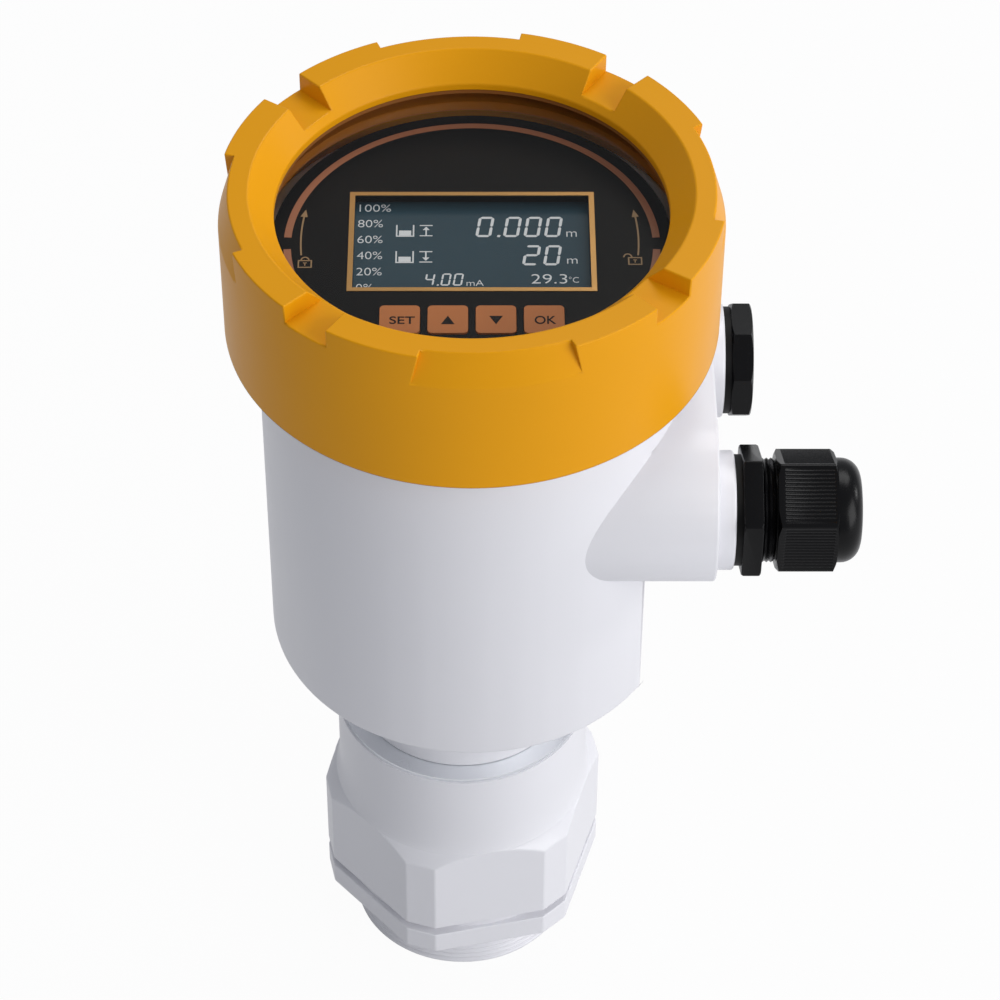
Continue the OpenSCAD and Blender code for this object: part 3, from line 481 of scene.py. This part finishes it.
def line(path, width, z, thick=INK_T):
    """A flat printed line: a thin rectangle carried along a path of points. Its sides lie half the
    width to each side, along the mean of the two neighbouring normals, lengthened at a bend so
    that the width stays, and its ends close on their middles."""
    path = np.asarray(path, dtype=float)
    half = np.broadcast_to(np.asarray(width, dtype=float) / 2, len(path))
    step = np.diff(path, axis=0)
    step /= np.linalg.norm(step, axis=1)[:, None]
    looped = np.allclose(path[0], path[-1])
    before = np.vstack([step[-1:] if looped else step[:1], step])
    after = np.vstack([step, step[:1] if looped else step[-1:]])
    side = np.stack([-(before + after)[:, 1], (before + after)[:, 0]], axis=1)
    side /= 1 + (before * after).sum(axis=1)[:, None]
    left, right = path + side * half[:, None], path - side * half[:, None]
    upper, lower = np.full(len(path), z + thick), np.full(len(path), z)
    rows = np.stack([np.column_stack(corner) for corner in (
        (left, upper), (right, upper), (right, lower), (left, lower), (left, upper))], axis=1)
    if looped:
        return rows
    cap = np.repeat(rows[:, :4].mean(axis=1)[:, None], 5, axis=1)
    return np.concatenate([cap[:1], rows, cap[-1:]])


def arc(radius, start, end, count=64):
    """Points on a circle round the head's axis, between two bearings in degrees."""
    angle = np.radians(np.linspace(start, end, count))
    return np.column_stack([radius * np.cos(angle), radius * np.sin(angle)])


def added(name, mesh, body, material):
    """Puts in a mesh that stands for no CAD node."""
    mesh.materials.append(material)
    piece = bpy.data.objects.new(name, mesh)
    bpy.context.scene.collection.objects.link(piece)
    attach(piece, body)


def printed(name, body, slot, material, *lines):
    """A printed or inlaid pattern of flat lines over the head's axis."""
    mesh = skin(name, *[grid + np.array([HEAD_MM, 0, 0]) for grid in lines])
    added(name, mesh, body, material)


RING_MID, RING_W = 34.8, 1.4
MARK_X, MARK_BEND, MARK_W, MARK_SHIFT, MARK_MID = 31.85, 50.0, 0.32, 0.42, 1.2
MARK_LOW, MARK_HIGH, ARROW_W, POINT_W = -3.5, 9.6, 1.35, 0.02
LOCK_HALF, LOCK_RISE, SHACKLE_R, LOCK_W, KEYHOLE_W = 1.2, 0.95, 0.75, 0.26, 0.22
copper_ink = moulded("copper_ink", (0.50, 0.20, 0.105), 0.42, grain=0.15, depth=0.004, shade=0.08)
beige_ink = moulded("beige_ink", (0.42, 0.27, 0.13), 0.45, grain=0.15, depth=0.004, shade=0.08)
printed("printed_ring", "housing", "key_copper", copper_ink,
        line(arc(RING_MID, 2.6, 177.4, 120), RING_W, FACE_Z),
        line(arc(RING_MID, 183.0, 357.0, 120), RING_W, FACE_Z))


def turn_mark(side, lock, open_shackle):
    """An arrow beside the display, bent like the plate's edge but less: its distance from the middle
    is a parabola of its height. The padlock at its foot has half a ring for a shackle, over its body
    or swung off it to the left. Side is 1 on the right and -1 on the left."""
    height = np.linspace(MARK_LOW, MARK_HIGH, 33)
    bend = (height - MARK_MID) ** 2 / (2 * MARK_BEND)
    path = np.column_stack([side * (MARK_X - bend) - MARK_SHIFT, height])
    lock = np.array(lock)
    body = np.array([[-1, -1], [1, -1], [1, 1], [-1, 1], [-1, -1]]) * [LOCK_HALF, LOCK_RISE] + lock
    bow = np.radians(np.linspace(0, 180, 17))
    bow = np.column_stack([SHACKLE_R * np.cos(bow), LOCK_RISE * np.sin(bow)]) + lock + [0.0, LOCK_RISE]
    if open_shackle:
        bow = bow + np.array([-1.35, 0.1])
    bar = np.array([[-0.35, 0.3], [0.35, 0.3]]) + lock
    stem = np.array([[0.0, 0.3], [0.0, -0.45]]) + lock
    return [line(path[:28], MARK_W, FACE_Z), line(path[27:], np.linspace(ARROW_W, POINT_W, 6), FACE_Z),
            line(body, LOCK_W, FACE_Z), line(bow, LOCK_W, FACE_Z),
            line(bar, KEYHOLE_W, FACE_Z), line(stem, KEYHOLE_W, FACE_Z)]


printed("cap_turn_marks", "housing", "key_copper", beige_ink,
        *turn_mark(-1, (-31.3, -6.0), False), *turn_mark(1, (30.6, -5.15), True))


# ---------------------------------------------------------------- liquid crystal display
# A dark teal display glass under the plate's window, lit from behind. Its segments show level, distance, loop
# current and temperature, and a scale from 0 to 100 percent is marked down its left side.

LCD_Z = 188.6
display_glass = moulded("display_glass", (0.036, 0.080, 0.115), 0.16, grain=2.0, depth=0.0002, shade=0.06,
                        gloss=0.03)
dress(display_glass, "lcd_panel")
segment_light = moulded("segment_light", (0.50, 0.52, 0.55), 0.4, grain=0.2, depth=0.002, shade=0.04)
segment_shader = segment_light.node_tree.nodes["Principled BSDF"]
segment_shader.inputs["Emission Color"].default_value = (0.68, 0.76, 0.84, 1.0)
segment_shader.inputs["Emission Strength"].default_value = 0.35

LIT_SEGMENTS = {"0": "abcdef", "2": "abged", "4": "fgbc"}
SEGMENT_ENDS = {
    "a": ((0, 2), (1, 2)), "b": ((1, 2), (1, 1)), "c": ((1, 1), (1, 0)), "d": ((1, 0), (0, 0)),
    "e": ((0, 0), (0, 1)), "f": ((0, 1), (0, 2)), "g": ((0, 1), (1, 1)),
}
DOT_PLACE, SEGMENT_GAP = 0.62, 0.12
SIGN_W, BAR_W, SIGN_ARROW_W, SIGN_ARROW_LEN = 0.28, 0.24, 1.3, 0.9


def segment_number(text, left, low, pitch, width, height, bar, slant=0.13, dot=1.3):
    """Seven-segment figures. Each lit segment is a bar with pointed ends between two corners of a cell
    one unit wide and two high, and the whole is leaned to the right by slant times its height."""
    strokes = []
    for figure in text:
        if figure == ".":
            spot = left - pitch + width + (pitch - width + dot) * DOT_PLACE
            strokes.append(([[spot, low], [spot + bar * 0.2, low + bar]], np.array([bar, bar])))
            left += dot
            continue
        for name in LIT_SEGMENTS[figure]:
            first, last = (np.array(end, dtype=float) for end in SEGMENT_ENDS[name])
            scale = np.array([width - bar, (height - bar) / 2])
            a, b = (np.array([left + bar / 2, low + bar / 2]) + end * scale for end in (first, last))
            along = (b - a) / np.linalg.norm(b - a)
            a, b = a + along * bar * SEGMENT_GAP, b - along * bar * SEGMENT_GAP
            widths = np.array([POINT_W, bar, bar, POINT_W])
            strokes.append(([a, a + along * bar / 2, b - along * bar / 2, b], widths))
        left += pitch
    grids = []
    for path, widths in strokes:
        grid = line(path, widths, LCD_Z)
        grid[..., 0] += slant * (grid[..., 1] - low)
        grids.append(grid)
    return grids


def lettering(name, words, height, low_left, z, body, material, width=None, weight=-0.012):
    """Words in a plain sans serif whose strokes are thickened by weight ems, made a mesh, scaled to a
    height and a width in millimetres, and laid flat at a point over the head's axis."""
    curve = bpy.data.curves.new(name, "FONT")
    curve.body = words
    curve.extrude = 0.01
    curve.offset = weight
    setter = bpy.data.objects.new(name, curve)
    bpy.context.scene.collection.objects.link(setter)
    mesh = bpy.data.meshes.new_from_object(setter.evaluated_get(bpy.context.evaluated_depsgraph_get()))
    bpy.data.objects.remove(setter)
    point = np.empty(3 * len(mesh.vertices))
    mesh.vertices.foreach_get("co", point)
    point = point.reshape(-1, 3)
    point -= point.min(axis=0)
    size = point.max(axis=0)
    scale = np.array([(width or height / size[1] * size[0]) / size[0], height / size[1], INK_T / size[2]])
    point = point * scale + np.array([low_left[0] + HEAD_MM, low_left[1], z])
    mesh.vertices.foreach_set("co", (point * MM).ravel())
    mesh.materials.clear()
    mesh.name = name
    added(name, mesh, body, material)


printed("display_figures", "housing", "display_glass", segment_light,
        *segment_number("0.000", 0.6, 4.35, 3.9, 3.0, 5.85, 0.55, dot=1.35),
        *segment_number("20", 9.4, -3.75, 3.95, 3.0, 5.7, 0.55),
        *segment_number("4.00", -9.0, -9.5, 2.3, 1.75, 3.4, 0.33, dot=0.75))
for index, (words, high, width, at) in enumerate([
        ("100%", 2.05, 6.0, (-21.5, 11.75)), ("80%", 2.1, 4.75, (-21.7, 7.2)), ("60%", 2.1, 4.75, (-21.7, 2.6)),
        ("40%", 2.1, 4.75, (-21.7, -2.0)), ("20%", 2.1, 4.75, (-21.7, -6.6)), ("0%", 2.1, 3.1, (-21.7, -11.15)),
        ("m", 1.5, 1.95, (17.95, 4.45)), ("m", 1.4, 1.95, (17.95, -3.25)), ("mA", 1.6, 3.2, (-1.0, -9.55)),
        ("29.3", 2.6, 6.7, (11.15, -8.9)), ("°C", 1.6, 1.85, (18.2, -8.65))]):
    lettering(f"display_label_{index}", words, high, at, LCD_Z, "housing", segment_light, width)


def tank_sign(left, low, size, downwards):
    """A tank half full of liquid, and beside it an arrow between two bars: up to the surface for the
    level, or down to it for the distance."""
    wall = [[left, low + size], [left, low], [left + size, low], [left + size, low + size]]
    fill = [[left + size / 2, low + 0.2], [left + size / 2, low + size * 0.5]]
    middle = left + 1.75 * size
    tail, tip = (low + size - 0.25, low + 0.5) if downwards else (low + 0.25, low + size - 0.5)
    neck = tip + (SIGN_ARROW_LEN if downwards else -SIGN_ARROW_LEN)
    bars = [[[middle - size * 0.38, y], [middle + size * 0.38, y]] for y in (low + 0.12, low + size - 0.12)]
    return [line(wall, SIGN_W, LCD_Z), line(fill, size - 0.9, LCD_Z),
            line([[middle, tail], [middle, neck]], SIGN_W, LCD_Z),
            line([[middle, neck], [middle, tip]], [SIGN_ARROW_W, POINT_W], LCD_Z),
            *[line(bar, BAR_W, LCD_Z) for bar in bars]]


printed("display_signs", "housing", "display_glass", segment_light,
        *tank_sign(-14.3, 4.6, 3.2, False), *tank_sign(-14.3, -2.95, 3.2, True))


# ---------------------------------------------------------------- keys
# Four copper-coloured moulded keys stand a little proud of the front plate, each on its own switch. Their
# marks are printed in black: SET, an arrow up, an arrow down, and OK.

KEY_Z, KEY_PITCH = 191.2, 8.88
ARROW_LOW, ARROW_HIGH, KEY_ARROW_W, KEY_WEIGHT = -23.05, -20.8, 2.5, 0.01
key_copper = moulded("key_copper", (0.62, 0.225, 0.075), 0.46, grain=0.2, depth=0.012, shade=0.06, shine=0.25)
key_black = moulded("key_black", (0.008, 0.006, 0.005), 0.5, grain=0.15, depth=0.004, shade=0.1, shine=0.15)
dress(key_copper, "key_set", "key_up", "key_down", "key_ok")
lettering("key_set_mark", "SET", 2.05, (-15.2, -23.0), KEY_Z, "key_set", key_black, 4.7,
          KEY_WEIGHT)
lettering("key_ok_mark", "OK", 2.2, (11.55, -23.0), KEY_Z, "key_ok", key_black, 3.95,
          KEY_WEIGHT)
for key, column, upwards in (("key_up", -0.5, True), ("key_down", 0.5, False)):
    foot, tip = (ARROW_LOW, ARROW_HIGH) if upwards else (ARROW_HIGH, ARROW_LOW)
    printed(f"{key}_mark", key, "display_black", key_black,
            line([[column * KEY_PITCH, foot], [column * KEY_PITCH, tip]], [KEY_ARROW_W, POINT_W], KEY_Z))


# ---------------------------------------------------------------- sight glass
# A disc of toughened glass against a flat rubber gasket under the cap's lip. It is clear, with a faint brown
# cast, and mirrors the room at its surface.

GLASS_IOR, HAZE_PITCH, HAZE_LOW, HAZE_HIGH = 1.3, 9, 0.02, 0.07


def clear_glass(name, passes):
    """Glass without bending: what is behind it passes, tinted, and a Fresnel share of the room is
    mirrored where a ray comes in from outside. A faint haze varies the mirror's sharpness."""
    material = bpy.data.materials.new(name)
    material.use_nodes = True
    tree = material.node_tree
    tree.nodes.clear()
    out = tree.nodes.new("ShaderNodeOutputMaterial")
    mix = tree.nodes.new("ShaderNodeMixShader")
    through = tree.nodes.new("ShaderNodeBsdfTransparent")
    through.inputs["Color"].default_value = passes
    mirror = tree.nodes.new("ShaderNodeBsdfGlossy")
    edge = tree.nodes.new("ShaderNodeFresnel")
    edge.inputs["IOR"].default_value = GLASS_IOR
    place = tree.nodes.new("ShaderNodeTexCoord")
    haze = tree.nodes.new("ShaderNodeTexNoise")
    haze.inputs["Scale"].default_value = 1.0 / (HAZE_PITCH * MM)
    blur = tree.nodes.new("ShaderNodeMapRange")
    blur.inputs["To Min"].default_value = HAZE_LOW
    blur.inputs["To Max"].default_value = HAZE_HIGH
    tree.links.new(place.outputs["Object"], haze.inputs["Vector"])
    tree.links.new(haze.outputs["Fac"], blur.inputs["Value"])
    tree.links.new(blur.outputs["Result"], mirror.inputs["Roughness"])
    side = tree.nodes.new("ShaderNodeNewGeometry")
    outside = math_node(tree, "SUBTRACT", 1.0, side.outputs["Backfacing"])
    tree.links.new(math_node(tree, "MULTIPLY", edge.outputs["Fac"], outside), mix.inputs["Fac"])
    tree.links.new(through.outputs["BSDF"], mix.inputs[1])
    tree.links.new(mirror.outputs["BSDF"], mix.inputs[2])
    tree.links.new(mix.outputs["Shader"], out.inputs["Surface"])
    return material


window_glass = clear_glass("window_glass", (0.93, 0.92, 0.90, 1.0))
dress(window_glass, "sight_glass")
gasket_silicone = moulded("gasket_silicone", (0.26, 0.095, 0.02), 0.45, grain=0.2, shade=0.08)
dress(gasket_silicone, "window_gasket")


# ---------------------------------------------------------------- screw cap
# A yellow moulding that screws over the housing's mouth and clamps the sight glass. Four wide recesses and
# four narrow notches round its top edge give the hand a grip, and a cone leads down to the window.

CAP_LOW, CAP_TOP, LIP_Z, SKIRT_TOP = 172.7, 204.7, 198.0, 177.5
CAP_R, SKIRT_R, BORE_R, RIM_R, OPENING_R = 47.5, 45.2, 43.6, 41.6, 37.0
CONE_DEPTH, NOTCH_DEPTH, RECESS_DEPTH, RECESS_IN, RECESS_LEAN = 5.2, 3.9, 7.0, 2.0, 11.7
GRIP_TURN, RECESS_HALF, NOTCH_HALF = 5.6, 17.2, 5.95
RIDGES, RIDGE_IN, RIDGE_HALF, RIDGE_GAP, FOOT_CUT = 7, 0.4, 0.8, 0.1, 0.25


def cap_surface():
    """The cap's section carried round its axis, four times the same quarter: a recess, plain rim, a
    notch, plain rim. Two columns at one bearing, one on each side, make an end wall. In a recess the
    side runs in evenly from its foot to the top; its end walls lean, so the bearings spread with
    depth, by depth x tan(lean) / radius, fading to nothing at the notches."""
    spans = [(-RECESS_HALF, RECESS_HALF, 24, 1), (RECESS_HALF, 45 - NOTCH_HALF, 15, 0),
             (45 - NOTCH_HALF, 45 + NOTCH_HALF, 9, 2), (45 + NOTCH_HALF, 90 - RECESS_HALF, 15, 0)]
    local = np.concatenate([np.linspace(a, b, n) for a, b, n, _ in spans])
    kind = np.concatenate([np.full(n, k) for _, _, n, k in spans])
    spread = np.interp(local, [a for a, *_ in spans] + [90 - RECESS_HALF], [-1, 1, 0, 0, -1])
    bearing, which = whole_turn(local, 4, GRIP_TURN)
    kind, spread = kind[which], spread[which]
    recess, notch = kind == 1, kind == 2
    shoulder = CAP_TOP - NOTCH_DEPTH
    top = np.where(notch, shoulder, CAP_TOP)
    cone_r = RIM_R - (RIM_R - OPENING_R) * NOTCH_DEPTH / CONE_DEPTH
    side = np.where(recess, CAP_R - RECESS_IN * (1 - NOTCH_DEPTH / RECESS_DEPTH), CAP_R)
    crown = np.where(recess, CAP_R - RECESS_IN, CAP_R)
    ridges = [(BORE_R - RIDGE_IN * (i % 2), LIP_Z - RIDGE_GAP - RIDGE_HALF * i, 0) for i in range(RIDGES)]
    rows = [
        (SKIRT_R, CAP_LOW, 0), (CAP_R - FOOT_CUT, CAP_LOW, RECESS_DEPTH),
        (CAP_R, CAP_LOW + FOOT_CUT, RECESS_DEPTH), (CAP_R, CAP_TOP - RECESS_DEPTH, RECESS_DEPTH),
        (side, shoulder, NOTCH_DEPTH), (crown, top, 0),
        (RIM_R, top, 0), (cone_r, shoulder, 0), (OPENING_R, CAP_TOP - CONE_DEPTH, 0), (OPENING_R, LIP_Z, 0),
        (BORE_R, LIP_Z, 0), *ridges, (BORE_R, SKIRT_TOP, 0), (SKIRT_R, SKIRT_TOP, 0), (SKIRT_R, CAP_LOW, 0)]
    radius, height, depth = columns(rows, bearing)
    lean = np.degrees(depth * math.tan(math.radians(RECESS_LEAN)) / CAP_R)
    return round_z(radius, height, bearing + spread * lean, HEAD_MM)


cap_yellow = moulded("cap_yellow", (0.80, 0.345, 0.005), 0.34, grain=0.3, depth=0.008, shade=0.02, shine=0.12)
ring_brown = moulded("ring_brown", (0.42, 0.15, 0.03), 0.42, shade=0.08)
cap = finish("cap_moulding", skin("cap_moulding", cap_surface()), "screw_cap", roll=0.3, bend=10.0)
cap.data.materials.append(cap_yellow)
dress(ring_brown, "window_ring")


# ---------------------------------------------------------------- cable gland
# An M20 gland in black polyamide: a body with a hexagonal collar and a threaded shoulder, a rubber insert for
# the cable, and a dome nut whose six flats are ribbed for the fingers. A flat ring seals it on the boss.

GLAND_Y, ENTRY_Z = -21.4, 141.0
SHOULDER_X, SHOULDER_R, RINGS_LEN, RINGS_RISE, RINGS_SUNK = 55.85, 9.85, 2.6, 0.32, 0.5
NUT_X, NUT_LEN, NUT_FLAT, NUT_CUT, NUT_BORE_R = 58.75, 11.6, 10.75, 1.2, 9.58
DOME_R, DOME_CORNER, DOME_LEN, DOME_BORE_R, CAGE_ROOM_X = 10.2, 3.8, 4.9, 6.5, 69.55
RIB_PITCH, RIB_DEPTH, RIBBED_HALF, RIB_FOOT, RIB_END, RIB_RUN_OUT = 0.8, 0.17, 5.5, 1.25, 0.6, 0.15
CORNER_BLUNT, BORE_RIM = 0.12, 0.05


def round_x(radius, along, bearing):
    """Points round the gland's axis: a distance from it, a distance from the housing's axis, a bearing."""
    radius, along, bearing = np.broadcast_arrays(radius, along, bearing)
    angle = np.radians(bearing)
    return np.stack([HEAD_MM + along, GLAND_Y + radius * np.cos(angle), ENTRY_Z + radius * np.sin(angle)],
                    axis=-1)


def nut_surface():
    """The dome nut's section carried round its axis. On a flat the radius is apothem / cos(angle), held
    just under the corner's so that corners come out blunt; its ribs are cosine waves across the
    flat's middle. A turned chamfer cuts the corners back at both ends, and the dome ends in a
    quarter circle."""
    corner = NUT_FLAT / math.cos(math.pi / 6)
    across = np.linspace(-NUT_FLAT * math.tan(math.pi / 6), NUT_FLAT * math.tan(math.pi / 6), 63)[:-1]
    local = np.degrees(np.arctan(across / NUT_FLAT))
    bearing, which = whole_turn(local, 6)
    across, local = across[which], local[which]
    flat = np.minimum(NUT_FLAT / np.cos(np.radians(local)), corner - CORNER_BLUNT)
    wave = RIB_DEPTH * (0.5 - 0.5 * np.cos(2 * np.pi * across / RIB_PITCH))
    ribbed = flat - np.where(np.abs(across) < RIBBED_HALF, wave, 0)
    start = corner - NUT_CUT
    cut = np.maximum(flat - start, 0) / 2
    end = NUT_X + NUT_LEN
    turn = np.radians(np.linspace(0, 88.5, 10))
    dome = zip(DOME_R - DOME_CORNER * (1 - np.cos(turn)), end + DOME_LEN - DOME_CORNER * (1 - np.sin(turn)))
    rows = [
        (NUT_BORE_R, NUT_X), (np.minimum(flat, start), NUT_X), (flat, NUT_X + cut), (flat, NUT_X + RIB_FOOT),
        (ribbed, NUT_X + RIB_FOOT + RIB_RUN_OUT), (ribbed, end - RIB_END - RIB_RUN_OUT), (flat, end - RIB_END),
        (flat, end - cut), (np.minimum(flat, start), end), (DOME_R, end), *dome,
        (DOME_BORE_R, end + DOME_LEN - BORE_RIM), (DOME_BORE_R, CAGE_ROOM_X), (NUT_BORE_R, CAGE_ROOM_X),
        (NUT_BORE_R, NUT_X)]
    return round_x(*columns(rows, bearing), bearing)


def thread_rings_surface():
    """Three turns of the gland body's thread that show between collar and nut: a sleeve whose outer
    radius is a triangle wave along the axis."""
    count = 13
    along = np.linspace(SHOULDER_X, SHOULDER_X + RINGS_LEN, count)
    wave = SHOULDER_R + RINGS_RISE * (1 - np.abs((np.arange(count) % 4) / 2 - 1))
    inner = [SHOULDER_R - RINGS_SUNK]
    radius = np.concatenate([inner, wave, inner, inner])
    along = np.concatenate([along[:1], along, along[-1:], along[:1]])
    return round_x(radius[:, None], along[:, None], np.linspace(0, 360, 97))


black_nylon = moulded("black_nylon", (0.0025, 0.0025, 0.003), 0.26, grain=0.35, depth=0.008, shade=0.12,
                      shine=0.17)
nut = finish("gland_nut_ribbed", skin("gland_nut_ribbed", nut_surface()), "gland_nut", roll=0.0, bend=35.0)
nut.data.materials.append(black_nylon)
gland = finish("gland_body_moulding", merged_copy("gland_body", "gland_body_moulding"), "gland_body", roll=0.25)
gland.data.materials.append(black_nylon)
added("gland_thread_rings", skin("gland_thread_rings", thread_rings_surface()), "housing",
      black_nylon)
dress(rubber, "gland_seal", "gland_insert")


# ---------------------------------------------------------------- blanking plug
# A solid black polyamide plug closes the second cable entry against a flat ring. It has an octagonal head,
# chamfered at both faces, and an M20 x 1.5 thread on its shank.

PLUG_Y = -GLAND_Y
PLUG_END = (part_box("blanking_plug")[1][0] - HEAD_X) / MM
PLUG_HEAD, PLUG_FLAT, PLUG_CUT, PLUG_SIDES = 4.3, 11.2, 1.0, 8
SHANK_R, SHANK_LEN, SHANK_PITCH, SHANK_DEPTH, SEAL_GAP = 9.92, 9.35, 1.5, 0.7, 0.02


def plug_surface():
    """The plug's section carried round its axis. On the octagon the radius is apothem / cos(angle from
    the facet's middle), held in a cone by each chamfer. The shank's rows climb one pitch a turn, and
    their radius steps crest, flank, root, flank."""
    half = 180 / PLUG_SIDES
    local = np.linspace(-half, half, 14)[:-1]
    bearing, which = whole_turn(local, PLUG_SIDES)
    flat = PLUG_FLAT / np.cos(np.radians(local[which]))
    start = PLUG_FLAT / math.cos(math.radians(half)) - PLUG_CUT
    cut = np.maximum(flat - start, 0) / 2
    face = PLUG_END - PLUG_HEAD + SEAL_GAP
    steps = 4
    row = np.arange(-steps, math.ceil(SHANK_LEN / SHANK_PITCH) * steps + 1)[:, None]
    along = face - SHANK_LEN + SHANK_PITCH * (row / steps + (bearing - bearing[0]) / 360)
    screw_x = np.clip(along, face - SHANK_LEN, face)
    screw_r = SHANK_R - SHANK_DEPTH * np.array([0.0, 0.5, 1.0, 0.5])[row % steps]
    rows = [
        (0, face - SHANK_LEN), *zip(screw_r, screw_x), (np.minimum(flat, start), face), (flat, face + cut),
        (flat, PLUG_END - cut), (np.minimum(flat, start), PLUG_END), (0, PLUG_END)]
    points = round_x(*columns(rows, bearing), bearing)
    points[..., 1] += PLUG_Y - GLAND_Y
    return points


plug = finish("plug_moulding", skin("plug_moulding", plug_surface()), "blanking_plug", roll=0.0, bend=35.0)
plug.data.materials.append(black_nylon)
dress(rubber, "plug_seal")
